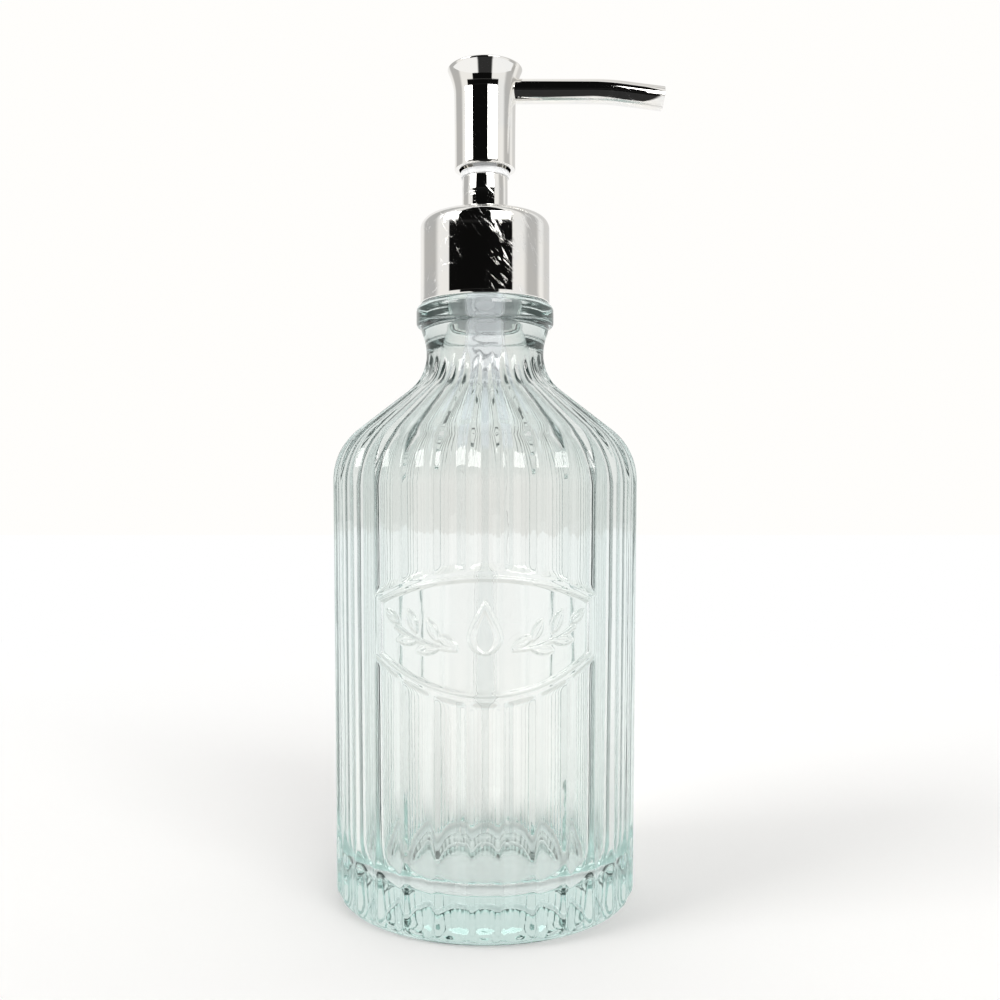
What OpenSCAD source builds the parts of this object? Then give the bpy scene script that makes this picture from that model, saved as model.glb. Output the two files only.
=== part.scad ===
// Soap pump dispenser: a fluted glass bottle with a lotion pump screwed on its neck.
// The origin is on the bottle's axis, on the surface that it stands on. +Z is up,
// the spout points along +X and the plaque on the bottle faces -Y.

/* [Bottle] */
// Diameter over the ribs just below the shoulder
shoulder_d = 75.8; // [62:0.1:92]
// How much narrower the bottle is over the ribs at the heel
side_taper = 2; // [0:0.1:3]
// Height at which the straight side ends and the shoulder starts
shoulder_z = 103; // [85:1:125]
// Radius of the round between side and shoulder
shoulder_round = 16; // [12:0.5:19.5]
// Slope of the shoulder's cone, away from the vertical
shoulder_slope = 52; // [45:1:58]
// Radius of the hollow curve between shoulder and neck
neck_round = 12; // [9:0.5:14.5]
// Radius of the round at the heel
heel_round = 4.2; // [3:0.1:5]
// Thickness of the glass wall behind the flutes
glass_wall = 2.8; // [2:0.1:3.4]
// Thickness of the glass base
base_t = 9; // [6:0.5:12]

/* [Flutes and plaque] */
// Number of flutes round the bottle
flutes = 30; // [24:2:36]
// Depth of a flute below the ribs
flute_depth = 1.1; // [0.6:0.1:1.4]
// Height at which the flutes end above the base
flute_end_z = 4.4; // [4:0.1:7]
// Width of the plaque, measured round the bottle
plaque_w = 51.6; // [40:0.1:62]
// Height of the middle of the plaque's straight sides
plaque_z = 69.9; // [60:0.1:78]
// Height of the plaque's straight sides
plaque_side_h = 12.4; // [8:0.1:15]
// Rise of the arched top edge above the sides
plaque_top_rise = 5.8; // [4:0.1:8]
// Drop of the bowed bottom edge below the sides
plaque_bottom_drop = 8.6; // [6:0.1:11]
// Smooth border that the flutes stop short of
plaque_border = 2.2; // [1.5:0.1:3]
// Height of the plaque above the ribs
plaque_raise = 0.5; // [0.2:0.1:0.9]

/* [Neck finish and thread] */
// Depth of the neck's narrowest point inside the bead
neck_inset = 2.5; // [2:0.1:3]
// Height from the neck's narrowest point to the bead's underside
neck_rise = 6.4; // [5.3:0.1:8]
// How far the glass bead stands out under the collar
bead_over = 1; // [0.5:0.1:2]
// Height of the glass bead
bead_h = 5.6; // [4.5:0.1:7]
// Diameter of the finish inside its thread
finish_d = 25.4; // [21.1:0.1:30.5]
// Glass wall of the finish round the mouth's bore
finish_wall = 3.4; // [2.5:0.1:4.1]
// Height of the finish from the bead to the lip
finish_h = 16.6; // [13.8:0.1:20]
// Pitch of the neck thread
thread_pitch = 4.23; // [3.6:0.01:5.1]
// Height of the thread's ridge
thread_h = 1; // [0.8:0.05:1.2]
// Turns of the thread
thread_turns = 1.1; // [0.9:0.05:1.3]

/* [Collar] */
// Wall of the closure outside its thread
closure_wall = 1.48; // [1.2:0.02:2.4]
// Round at the collar's top edge
collar_round = 3; // [1.5:0.1:4]
// Wall of the chrome collar
collar_wall = 0.7; // [0.5:0.05:0.9]
// Gap between the collar's lower edge and the glass bead
collar_gap = 0.6; // [0.4:0.1:1.2]
// Thickness of the closure's top web
closure_web = 1.5; // [1.2:0.1:2]
// Thickness of the neck gasket
gasket_t = 1; // [0.8:0.1:1.4]
// Thickness of the housing's flange and of the guide's flange
flange_t = 1.2; // [1:0.1:1.6]

/* [Pump] */
// Bore of the pump housing
housing_bore = 8.8; // [7.3:0.1:10.6]
// Wall of the pump housing
housing_wall = 0.8; // [0.6:0.05:1]
// Travel of the pump head
stroke = 10; // [8:0.5:12]
// Length left for the return spring at the end of the stroke
spring_room = 9.6; // [8:0.1:12]
// Outer diameter of the stem
stem_d = 6; // [5:0.1:7.2]
// Bore of the stem
stem_bore = 3.8; // [3.6:0.1:4]
// Outer diameter of the chrome sleeve under the head
sleeve_d = 11.4; // [9.5:0.1:13.7]
// Wall of the chrome sleeve
sleeve_wall = 0.6; // [0.5:0.05:0.8]
// Length of the piston
piston_h = 6; // [5:0.5:7]
// Diameter of the spring's wire
spring_wire = 0.7; // [0.5:0.05:0.8]
// Mean diameter of the return spring
spring_d = 6.2; // [5.2:0.1:7.5]
// Coils of the return spring
spring_coils = 7; // [6:1:9]
// Diameter of the inlet ball
inlet_ball_d = 4; // [3.6:0.1:4.6]
// Diameter of the outlet ball
outlet_ball_d = 3; // [2.8:0.1:3.2]
// Outer diameter of the dip tube
dip_d = 6; // [5:0.1:7.2]
// Wall of the dip tube
dip_wall = 0.8; // [0.6:0.1:1]
// Gap between the dip tube's tip and the glass floor
dip_gap = 2; // [1:0.5:5]

/* [Head] */
// Height left between the top of the stem and the spout
stem_to_spout = 1.6; // [1.4:0.1:8]
// Wall of the head shell at its lower rim
head_wall = 1.15; // [0.8:0.05:1.6]
// Extra radius that the head's body gains from its rim to its top
head_swell = 0.3; // [0:0.05:0.8]
// Extra radius of the flared top over the body
head_flare = 2; // [1:0.05:3]
// Gap left between head and collar at the end of the stroke
head_clear = 2; // [1.5:0.5:3]
// Outer diameter of the spout
spout_d = 6; // [5:0.05:7.2]
// Wall of the spout
spout_wall = 0.6; // [0.5:0.05:0.8]
// Reach of the spout's tip from the axis
spout_reach = 44.8; // [38:0.1:54]
// Reach of the straight part of the spout
spout_straight = 27; // [22:0.5:33]
// Downward slope of the spout's tip
spout_droop = 7.5; // [4:0.5:12]
// Depth of the spout's axis below the top of the head
spout_below_top = 6.05; // [5.6:0.05:8]

/* [Fits] */
// Radial clearance of a running fit
run = 0.05; // [0.02:0.01:0.08]
// Radial clearance of pieces that are pushed together
push = 0.02; // [0.01:0.01:0.04]
// Clearance of pieces that pass without touching
clear = 0.3; // [0.25:0.05:0.4]

/* [Hidden] */
$fn = 96;
tiny = 0.01;

// Bottle outline: straight side, round shoulder, cone, hollow neck curve
shoulder_r = shoulder_d / 2;
heel_r = shoulder_r - side_taper / 2;
finish_r = finish_d / 2;
collar_r = finish_r + thread_h + clear + closure_wall + push + collar_wall;
bead_r = collar_r + bead_over;
neck_r = bead_r - neck_inset;
turn_in = 1 - cos(shoulder_slope);
cone_l = (shoulder_r - neck_r - (shoulder_round + neck_round) * turn_in) / sin(shoulder_slope);
cone_low_z = shoulder_z + shoulder_round * sin(shoulder_slope);
cone_low_r = shoulder_r - shoulder_round * turn_in;
cone_high_z = cone_low_z + cone_l * cos(shoulder_slope);
neck_z = cone_high_z + neck_round * sin(shoulder_slope);
bead_z = neck_z + neck_rise;
bead_top = bead_z + bead_h;
bead_edge = 1.3;
bead_seat_r = bead_r - 0.9;
lip_z = bead_top + finish_h;
lip_round = 0.8;

// Columns and rows of points on the glass, one rib and two flute points for each flute
column_a = 360 / flutes / 3;
columns = 3 * flutes;
plaque_low_z = plaque_z - plaque_side_h / 2 - plaque_bottom_drop;
plaque_high_z = plaque_z + plaque_side_h / 2 + plaque_top_rise;
plaque_row = 2.2;
flute_fade_z = neck_z - 9;
rim_slope = 0.9;

// Thread: a ridge with sloping sides, wide at its foot and narrow at its crest
ridge_foot = 2;
ridge_crest = 1.1;
thread_row = thread_pitch / 8;
thread_z = lip_z - 4.2 - thread_turns * thread_pitch;
thread_fade = 25;

// Inside of the bottle
mouth_r = finish_r - finish_wall;
inner_r = heel_r - flute_depth - glass_wall;
inner_shoulder_r = shoulder_r - flute_depth - glass_wall;
inner_heel = 9;

// Stack on the lip: gasket, housing flange, guide flange, closure web, collar top
flange_z = lip_z + gasket_t;
guide_z = flange_z + flange_t;
web_z = guide_z + flange_t;
shell_in_z = web_z + closure_web;
collar_top = shell_in_z + collar_wall;
collar_low = bead_top + collar_gap;
flange_r = finish_r - 0.4;
guide_flange_r = flange_r - 0.8;
closure_r = collar_r - collar_wall - push;

// Housing and guide
bore_r = housing_bore / 2;
housing_r = bore_r + housing_wall;
guide_skirt = 8;
guide_low = guide_z - guide_skirt;
sleeve_r = sleeve_d / 2;
guide_r = sleeve_r - sleeve_wall - push;
guide_cap_r = sleeve_r + 0.35;
guide_cap_t = 1.4;
head_low = collar_top + stroke + head_clear;
guide_top = head_low - 0.5;

// Piston, rod and spring, from the guide's skirt down
stem_r = stem_d / 2;
piston_top = guide_low - 0.1;
piston_low = piston_top - piston_h;
rod_r = stem_bore / 2 - push;
rod_flange_t = 1.2;
rod_flange_r = bore_r - 0.5;
rod_spigot_l = 3;
spring_top = piston_low - rod_flange_t;
spring_low = spring_top - stroke - spring_room;
spring_r = spring_d / 2;
spigot_r = spring_r - spring_wire / 2 - clear;
wire_sides = 8;
wire_steps = 16;

// Cage, inlet ball, valve seat and dip tube socket at the housing's lower end
cage_t = 1.6;
cage_z = spring_low - cage_t;
inlet_ball_r = inlet_ball_d / 2;
inlet_lift = 1;
inlet_ball_z = cage_z - inlet_ball_r - inlet_lift - 0.2;
seat_r = inlet_ball_r * 0.72;
seat_z = inlet_ball_z - inlet_ball_r * sqrt(2) - run + seat_r;
housing_low = seat_z + bore_r - seat_r;
socket_l = 9;
socket_top = seat_z - 1;
socket_low = socket_top - socket_l;
dip_r = dip_d / 2;
socket_r = dip_r + push;
dip_low = base_t + dip_gap;
dip_bevel = 40;
cage_hole_r = inlet_ball_r * 0.6;

// Stem, outlet valve and actuator
core_low = guide_top + stroke + 0.4;
core_socket = 5.5;
stem_top = core_low + core_socket;
stem_low = piston_top + clear;
stem_bore_r = stem_bore / 2;
outlet_seat_r = outlet_ball_d / 2 * 0.68;
outlet_ball_r = outlet_ball_d / 2;
outlet_seat_z = stem_top - 4.8;
outlet_ball_z = outlet_seat_z - outlet_seat_r + outlet_ball_r * sqrt(2) + run;
channel_r = outlet_ball_r * 0.75;
core_boss_r = stem_r + 1.5;

// Head and spout
spout_r = spout_d / 2;
spout_z = stem_top + stem_to_spout + spout_r;
head_top = spout_z + spout_below_top;
head_h = head_top - head_low;
head_dome = 0.5;
spout_in_r = spout_r - spout_wall;
head_inner_r = guide_cap_r + clear + 0.1;
head_rim_r = head_inner_r + head_wall;
head_top_r = head_rim_r + head_swell + head_flare;
flare_start = 0.72;
head_edge = 0.45;
core_top = spout_z + spout_r + 1.2;
core_r = head_inner_r - push;
spout_root = stem_r - 1;
bend_r = 60;
bend_x = bend_r * sin(spout_droop);
bend_z = bend_r * (1 - cos(spout_droop));
tip_l = (spout_reach - spout_straight - bend_x) / cos(spout_droop);
nozzle_l = 6;
nozzle_hole_r = 1.3;

// ---- shared functions ----

function smooth(t) = let (c = min(1, max(0, t))) c * c * (3 - 2 * c);
function arc_drop(r, d) = r - sqrt(max(0, r * r - d * d));

// Radius over the ribs at a height
function rib_r(z) =
    z < heel_round ? heel_r - arc_drop(heel_round, heel_round - z)
    : z < shoulder_z ? heel_r + (shoulder_r - heel_r) * (z - heel_round) / (shoulder_z - heel_round)
    : z < cone_low_z ? shoulder_r - arc_drop(shoulder_round, z - shoulder_z)
    : z < cone_high_z ? cone_low_r - (z - cone_low_z) * tan(shoulder_slope)
    : z < neck_z ? neck_r + arc_drop(neck_round, neck_z - z)
    : z < bead_z ? neck_r + (bead_seat_r - neck_r) * pow((z - neck_z) / neck_rise, 2)
    : z < bead_top ? bead_r - arc_drop(bead_edge, max(0, bead_edge - min(z - bead_z, bead_top - z)))
    : finish_r - arc_drop(lip_round, max(0, lip_round - (lip_z - z)));

// How far a point of the wall is inside the plaque's outline, in mm
function plaque_in(a, z) =
    let (
        off = (a + 90 + 540) % 360 - 180,
        s = rib_r(z) * off * PI / 180,
        part = s / (plaque_w / 2),
        top = plaque_high_z - plaque_top_rise * part * part,
        low = plaque_low_z + plaque_bottom_drop * part * part
    )
    min(plaque_w / 2 - abs(s), top - z, z - low);

// Flute depth at an angle: 0 on a rib and 1 along the flute's floor
function flute_at(a) =
    let (p = 360 / flutes, u = abs(((a + 90 + p / 2 + 720) % p) / p - 0.5) * 2) 1 - pow(u, 2.6);

// Share of a flute's depth at a height: rounded at its foot, run out at the neck
function flute_run(z) = smooth((z - flute_end_z) / 2.2) * (1 - smooth((z - flute_fade_z) / 9));

// Section of a thread's ridge, d off its middle
function ridge(d) =
    min(1, max(0, (ridge_foot / 2 - abs(d)) / (ridge_foot - ridge_crest) * 2));

// Height of a helical ridge at an angle and height, with faded ends
function helix_ridge(a, z, start_z) =
    let (
        b = (a + 720) % 360,
        lap = round((z - start_z) / thread_pitch - b / 360),
        turn = b + 360 * lap,
        ends = smooth(turn / thread_fade) * smooth((360 * thread_turns - turn) / thread_fade)
    )
    ridge(z - start_z - thread_pitch * turn / 360) * ends;

function glass_r(a, z) =
    let (inside = plaque_in(a, z))
    rib_r(z)
    - flute_depth * flute_at(a) * flute_run(z) * smooth(-inside / plaque_border)
    + plaque_raise * smooth(inside / rim_slope)
    + (z > bead_top ? thread_h * helix_ridge(a, z, thread_z) : 0);

// Evenly spaced heights from low up to just short of high
function rows_between(low, high, step) =
    let (n = max(1, ceil((high - low) / step))) [for (i = [0 : n - 1]) low + (high - low) * i / n];

// Rows that take in the whole of a thread's ridge
function thread_rows(start_z) =
    let (low = start_z - ridge_foot / 2, high = start_z + thread_turns * thread_pitch + ridge_foot / 2)
    concat(rows_between(low, high, thread_row), [high]);

// A closed solid from a grid of points, rows from the bottom up and columns counter-clockwise
module grid_solid(points, n) {
    rows = len(points) / n;
    sides = [
        for (i = [0 : rows - 2]) for (k = [0 : n - 1])
        let (a = i * n + k, b = i * n + (k + 1) % n, c = b + n, d = a + n)
        each [[a, d, c], [a, c, b]]
    ];
    bottom = [for (k = [0 : n - 1]) k];
    top = [for (k = [n - 1 : -1 : 0]) (rows - 1) * n + k];
    polyhedron(points, concat([bottom], sides, [top]), convexity = 8);
}

module tube(r_out, r_in, low, high) {
    translate([0, 0, low])
        difference() {
            cylinder(r = r_out, h = high - low);
            translate([0, 0, -1])
                cylinder(r = r_in, h = high - low + 2);
        }
}

module disc(r, low, high) {
    translate([0, 0, low])
        cylinder(r = r, h = high - low);
}

// ---- bottle ----

glass_rows = concat(
    rows_between(0, heel_round, heel_round / 4),
    [heel_round, heel_round + 1, heel_round + 2.4],
    [plaque_low_z - plaque_border],
    rows_between(plaque_low_z, plaque_high_z, plaque_row),
    [plaque_high_z, plaque_high_z + plaque_border],
    rows_between(shoulder_z, cone_low_z, 3),
    rows_between(cone_low_z, cone_high_z, 5),
    rows_between(cone_high_z, neck_z, 3),
    rows_between(neck_z, bead_z, 2.2),
    [bead_z, bead_z + bead_edge / 3, bead_z + bead_edge],
    [bead_top - bead_edge, bead_top - bead_edge / 3, bead_top - tiny],
    [bead_top + tiny],
    thread_rows(thread_z),
    [lip_z - lip_round, lip_z - lip_round / 3, lip_z]
);

module glass_outside() {
    points = [
        for (z = glass_rows) for (k = [0 : columns - 1])
        let (a = -90 + (k + 1.5) * column_a, r = glass_r(a, z))
        [r * cos(a), r * sin(a), z]
    ];
    grid_solid(points, columns);
}

// Half section of the hollow inside, from the floor to the mouth
module glass_inside() {
    cone_top_r = neck_r - glass_wall - 0.4;
    rotate_extrude()
        polygon(concat(
            [[0, base_t]],
            [for (i = [0 : 6]) let (t = i * 15)
                [inner_r - inner_heel * (1 - sin(t)), base_t + inner_heel * (1 - cos(t))]],
            [for (i = [0 : 5]) let (t = shoulder_slope * i / 5)
                [inner_shoulder_r - (shoulder_round - 2) * (1 - cos(t)),
                shoulder_z - 1.5 + (shoulder_round - 2) * sin(t)]],
            [for (i = [0 : 4]) let (t = shoulder_slope * (1 - i / 4))
                [cone_top_r + (neck_round + 2) * (1 - cos(t)), neck_z + 1 - (neck_round + 2) * sin(t)]],
            [[mouth_r, bead_top], [mouth_r, lip_z + 1], [0, lip_z + 1]]
        ));
}

module bottle() {
    color([0.78, 0.88, 0.86, 0.45])
        difference() {
            glass_outside();
            glass_inside();
        }
}

// ---- collar ----

module neck_gasket() {
    color("whitesmoke")
        tube(flange_r, housing_r + clear, lip_z, flange_z);
}

// Plug with the female thread's form, cut out of the closure
module thread_cutter() {
    wall_r = finish_r + thread_h + clear;
    low = collar_low - 1;
    high = web_z;
    female_z = thread_z - thread_pitch / 2;
    levels = concat([low], thread_rows(female_z), [high - 1, high]);
    n = 72;
    points = [
        for (z = levels) for (k = [0 : n - 1])
        let (a = 360 * k / n, r = wall_r - thread_h * helix_ridge(a, z, female_z))
        [r * cos(a), r * sin(a), z]
    ];
    grid_solid(points, n);
}

// Half section of a closed cylinder with a round at its top edge
module rounded_half(r, edge, low, top) {
    translate([0, low])
        square([r, top - edge - low]);
    translate([0, low])
        square([r - edge, top - low]);
    translate([r - edge, top - edge])
        intersection() {
            circle(r = edge);
            square(edge);
        }
}

module closure_ring() {
    color("white")
        difference() {
            rotate_extrude()
                rounded_half(closure_r, collar_round - collar_wall, collar_low + 0.4, shell_in_z);
            thread_cutter();
            disc(sleeve_r + clear, web_z - 1, shell_in_z + 1);
        }
}

module collar_shell() {
    color([0.8, 0.8, 0.79])
        rotate_extrude()
            difference() {
                rounded_half(collar_r, collar_round, collar_low, collar_top);
                rounded_half(closure_r + push, collar_round - collar_wall, collar_low - 1, shell_in_z);
                translate([0, collar_low - 1])
                    square([sleeve_r + clear, collar_top - collar_low + 2]);
            }
}

// ---- pump body ----

module pump_housing() {
    wall = housing_wall;
    color([0.93, 0.94, 0.95, 0.6])
        rotate_extrude()
            polygon([
                [bore_r, flange_z + flange_t],
                [flange_r, flange_z + flange_t],
                [flange_r, flange_z],
                [housing_r, flange_z],
                [housing_r, housing_low],
                [socket_r + wall, housing_low - (housing_r - socket_r - wall)],
                [socket_r + wall, socket_low],
                [socket_r, socket_low],
                [socket_r, socket_top],
                [seat_r, socket_top],
                [seat_r, seat_z],
                [bore_r, housing_low]
            ]);
}

module stem_guide() {
    color("white")
        difference() {
            union() {
                disc(bore_r - push, guide_low, guide_z);
                disc(guide_flange_r, guide_z, web_z);
                disc(guide_r, guide_z, guide_top);
                disc(guide_cap_r, guide_top - guide_cap_t, guide_top);
            }
            disc(stem_r + run, guide_low - 1, guide_top + 1);
        }
}

module guide_sleeve() {
    color([0.8, 0.8, 0.79])
        tube(sleeve_r, sleeve_r - sleeve_wall, web_z, guide_top - guide_cap_t);
}

// Perforated disc that carries the spring and keeps the inlet ball below it
module ball_cage() {
    windows = 3;
    window_r = 0.8;
    window_at = (cage_hole_r + bore_r) / 2;
    color("white")
        difference() {
            disc(bore_r - push, cage_z, cage_z + cage_t);
            disc(cage_hole_r, cage_z - 1, cage_z + cage_t + 1);
            for (i = [0 : windows - 1])
                rotate([0, 0, i * 360 / windows])
                    translate([window_at, 0, 0])
                        disc(window_r, cage_z - 1, cage_z + cage_t + 1);
        }
}

module inlet_ball() {
    color([0.75, 0.77, 0.78])
        translate([0, 0, inlet_ball_z])
            sphere(r = inlet_ball_r);
}

// Compression spring with a closed coil at each end
module return_spring() {
    low = spring_low + spring_wire / 2 + tiny;
    high = spring_top - spring_wire / 2 - tiny;
    open_coils = spring_coils - 2;
    open_pitch = (high - low - 2 * spring_wire) / open_coils;
    n = spring_coils * wire_steps;
    wire_r = spring_wire / 2;
    points = [
        for (i = [0 : n])
        let (
            t = i / wire_steps,
            z = low + spring_wire * (min(t, 1) + max(0, t - 1 - open_coils))
                + open_pitch * min(open_coils, max(0, t - 1))
        )
        for (k = [0 : wire_sides - 1])
        let (b = -360 * k / wire_sides, r = spring_r + wire_r * cos(b))
        [r * cos(360 * t), r * sin(360 * t), z + wire_r * sin(b) * 0.98]
    ];
    color([0.7, 0.71, 0.73])
        grid_solid(points, wire_sides);
}

module dip_tube() {
    color([0.95, 0.96, 0.97, 0.5])
        difference() {
            tube(dip_r, dip_r - dip_wall, dip_low, socket_top);
            translate([-dip_r, 0, dip_low])
                rotate([0, -dip_bevel, 0])
                    translate([-dip_d, -dip_d, -dip_d * 2])
                        cube([dip_d * 4, dip_d * 2, dip_d * 2]);
        }
}

// ---- plunger ----

// Seal with a lip at each end that slides in the housing's bore
module piston() {
    lip = 1.2;
    waist_r = bore_r - 0.8;
    seal_r = bore_r - run;
    color("ivory")
        rotate_extrude()
            polygon([
                [rod_r + run, piston_low],
                [seal_r - 0.5, piston_low],
                [seal_r, piston_low + 0.3],
                [seal_r, piston_low + lip],
                [waist_r, piston_low + lip + 0.5],
                [waist_r, piston_top - lip - 0.5],
                [seal_r, piston_top - lip],
                [seal_r, piston_top - 0.3],
                [seal_r - 0.5, piston_top],
                [rod_r + run, piston_top]
            ]);
}

// Hollow rod that joins the stem to the piston and centres the spring
module piston_rod() {
    top = piston_top + 5;
    hole_r = 1;
    color("white")
        difference() {
            union() {
                disc(rod_r, spring_top, top);
                disc(rod_flange_r, spring_top, piston_low - run);
                disc(spigot_r, spring_top - rod_spigot_l, spring_top);
            }
            disc(hole_r, piston_low + 1, top + 1);
            translate([0, 0, piston_low + 2])
                rotate([0, 90, 0])
                    cylinder(r = 0.7, h = 4 * rod_r, center = true);
        }
}

module stem() {
    color("white")
        rotate_extrude()
            polygon([
                [stem_bore_r, stem_low],
                [stem_r, stem_low],
                [stem_r, stem_top - 0.4],
                [stem_r - 0.4, stem_top],
                [stem_bore_r, stem_top],
                [stem_bore_r, outlet_seat_z + stem_bore_r - outlet_seat_r],
                [outlet_seat_r, outlet_seat_z],
                [outlet_seat_r, outlet_seat_z - 1.2],
                [stem_bore_r, outlet_seat_z - 1.2 - (stem_bore_r - outlet_seat_r)]
            ]);
}

module outlet_ball() {
    color([0.75, 0.77, 0.78])
        translate([0, 0, outlet_ball_z])
            sphere(r = outlet_ball_r);
}

// ---- head ----

// Inner fitting: a socket on the stem, a channel up to the spout and a disc inside the shell
module actuator_core() {
    color("white")
        difference() {
            union() {
                disc(core_boss_r, core_low, core_top);
                disc(core_r, stem_top - 1, core_top);
            }
            disc(stem_r + push, core_low - 1, stem_top);
            disc(channel_r, stem_top - 1, spout_z);
            translate([0, 0, spout_z])
                rotate([0, 90, 0])
                    cylinder(r = channel_r, h = core_r);
            translate([spout_root, 0, spout_z])
                rotate([0, 90, 0])
                    cylinder(r = spout_r + push, h = core_r * 2);
        }
}

// Outline of the flared head from its rim up to its domed top
function head_r(z) =
    let (
        t = (z - head_low) / head_h,
        swell = head_rim_r + head_swell * t * t,
        flare = head_flare * pow(max(0, (t - flare_start) / (1 - flare_start)), 2)
    )
    swell + flare;

module head_shell() {
    steps = 22;
    edge_z = head_top - head_dome - head_edge;
    outline = [for (i = [0 : steps]) let (z = head_low + (edge_z - head_low) * i / steps) [head_r(z), z]];
    color([0.8, 0.8, 0.79])
        difference() {
            rotate_extrude()
                polygon(concat(
                    [[0, head_low]],
                    outline,
                    [[head_top_r, edge_z + 0.05], [head_top_r - 0.1, edge_z + head_edge * 0.7]],
                    [[head_top_r - head_edge, head_top - head_dome], [head_top_r * 0.5, head_top - 0.12]],
                    [[0, head_top]]
                ));
            disc(head_inner_r, head_low - 1, core_top);
            translate([0, 0, spout_z])
                rotate([0, 90, 0])
                    cylinder(r = spout_r + push, h = head_top_r * 2);
        }
}

// Tube along the spout's path: straight, a gentle bend and a drooping tip, as one closed wall
module spout_tube() {
    sides = 32;
    bends = 5;
    path = concat(
        [[spout_root, 0, 0]],
        [for (i = [0 : bends]) let (t = spout_droop * i / bends)
            [spout_straight + bend_r * sin(t), bend_r * (1 - cos(t)), t]],
        [[spout_reach, bend_z + tip_l * sin(spout_droop), spout_droop]]
    );
    last = len(path) - 1;
    rings = concat(
        [for (i = [0 : last]) [path[i], spout_r]],
        [for (i = [last : -1 : 0]) [path[i], spout_in_r]]
    );
    points = [
        for (ring = rings) for (k = [0 : sides - 1])
        let (p = ring[0], up = ring[1] * cos(360 * k / sides), out = ring[1] * sin(360 * k / sides))
        [p[0] + up * sin(p[2]), out, spout_z - p[1] + up * cos(p[2])]
    ];
    faces = [
        for (i = [0 : len(rings) - 1]) for (k = [0 : sides - 1])
        let (j = (i + 1) % len(rings), m = (k + 1) % sides)
        [i * sides + k, j * sides + k, j * sides + m, i * sides + m]
    ];
    color([0.8, 0.8, 0.79])
        polyhedron(points, faces, convexity = 6);
}

// Places its children along the spout's drooping tip
module spout_tip() {
    translate([spout_straight + bend_x, 0, spout_z - bend_z])
        rotate([0, 90 + spout_droop, 0])
            children();
}

// Plastic outlet pushed into the spout's tip
module nozzle_insert() {
    inset = 0.6;
    color("white")
        spout_tip()
            tube(spout_in_r - push, nozzle_hole_r, tip_l - inset - nozzle_l, tip_l - inset);
}

bottle();
neck_gasket();
closure_ring();
collar_shell();
pump_housing();
stem_guide();
guide_sleeve();
ball_cage();
inlet_ball();
return_spring();
piston();
piston_rod();
stem();
outlet_ball();
actuator_core();
head_shell();
spout_tube();
nozzle_insert();
dip_tube();
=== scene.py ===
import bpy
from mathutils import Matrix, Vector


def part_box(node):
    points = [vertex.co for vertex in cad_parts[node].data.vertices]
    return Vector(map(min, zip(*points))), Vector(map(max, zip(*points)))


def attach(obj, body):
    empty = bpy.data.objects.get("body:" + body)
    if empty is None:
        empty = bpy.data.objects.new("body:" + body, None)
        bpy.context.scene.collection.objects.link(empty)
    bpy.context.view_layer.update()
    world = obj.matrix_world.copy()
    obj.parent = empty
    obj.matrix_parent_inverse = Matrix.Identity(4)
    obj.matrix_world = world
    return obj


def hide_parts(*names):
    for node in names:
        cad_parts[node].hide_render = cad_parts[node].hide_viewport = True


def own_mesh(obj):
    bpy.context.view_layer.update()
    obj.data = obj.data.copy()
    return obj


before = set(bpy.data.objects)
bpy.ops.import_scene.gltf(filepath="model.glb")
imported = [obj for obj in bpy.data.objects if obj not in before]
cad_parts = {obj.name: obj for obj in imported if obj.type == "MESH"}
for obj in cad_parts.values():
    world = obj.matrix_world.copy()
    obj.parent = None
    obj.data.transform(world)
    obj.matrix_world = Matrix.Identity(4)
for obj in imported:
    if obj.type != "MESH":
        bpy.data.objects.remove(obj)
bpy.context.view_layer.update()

import math

import bmesh
import bpy
from mathutils import Matrix, Vector, noise

mm = 0.001
scene = bpy.context.scene
print("frame loaded")


# turns a bmesh into a shown object that stands at the origin
def meshObject(bm, name, material):
    mesh = bpy.data.meshes.new(name)
    bm.to_mesh(mesh)
    bm.free()
    mesh.shade_smooth()
    mesh.materials.append(material)
    piece = bpy.data.objects.new(name, mesh)
    scene.collection.objects.link(piece)
    return piece


# a chain of vertices through (radius, height) points in mm, spun once round Z
def spunSolid(points, steps, closed=True):
    bm = bmesh.new()
    chain = [bm.verts.new((r * mm, 0, z * mm)) for r, z in points]
    pairs = list(zip(chain, chain[1:]))
    if closed:
        pairs.append((chain[-1], chain[0]))
    for a, b in pairs:
        bm.edges.new((a, b))
    bmesh.ops.spin(bm, geom=bm.verts[:] + bm.edges[:], cent=(0, 0, 0), axis=(0, 0, 1),
                   angle=math.tau, steps=steps, use_merge=True)
    bmesh.ops.remove_doubles(bm, verts=bm.verts, dist=1e-7)
    bmesh.ops.recalc_face_normals(bm, faces=bm.faces)
    return bm


# rounds a corner of a profile: points on an arc between two directions round a centre
def arcPoints(centreR, centreZ, radius, fromDeg, toDeg, count):
    angles = [math.radians(fromDeg + (toDeg - fromDeg) * i / count) for i in range(count + 1)]
    return [(centreR + radius * math.cos(a), centreZ + radius * math.sin(a)) for a in angles]


def clamp(value, low=0.0, high=1.0):
    return max(low, min(high, value))


def smooth(t):
    t = clamp(t)
    return t * t * (3 - 2 * t)


# straight run of points from low up to just short of high
def steps(low, high, count):
    return [low + (high - low) * i / count for i in range(count)]


def newMaterial(name):
    material = bpy.data.materials.new(name)
    material.use_nodes = True
    nodes = material.node_tree.nodes
    return material, nodes, material.node_tree.links, nodes["Principled BSDF"]


def setSockets(shader, **values):
    for key, value in values.items():
        shader.inputs[key.replace("_", " ")].default_value = value


# one sum of a shader, from numbers and sockets
def mathNode(nodes, links, kind, *values):
    node = nodes.new("ShaderNodeMath")
    node.operation = kind
    for i, value in enumerate(values):
        if isinstance(value, (int, float)):
            node.inputs[i].default_value = value
        else:
            links.new(value, node.inputs[i])
    return node.outputs[0]


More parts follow.
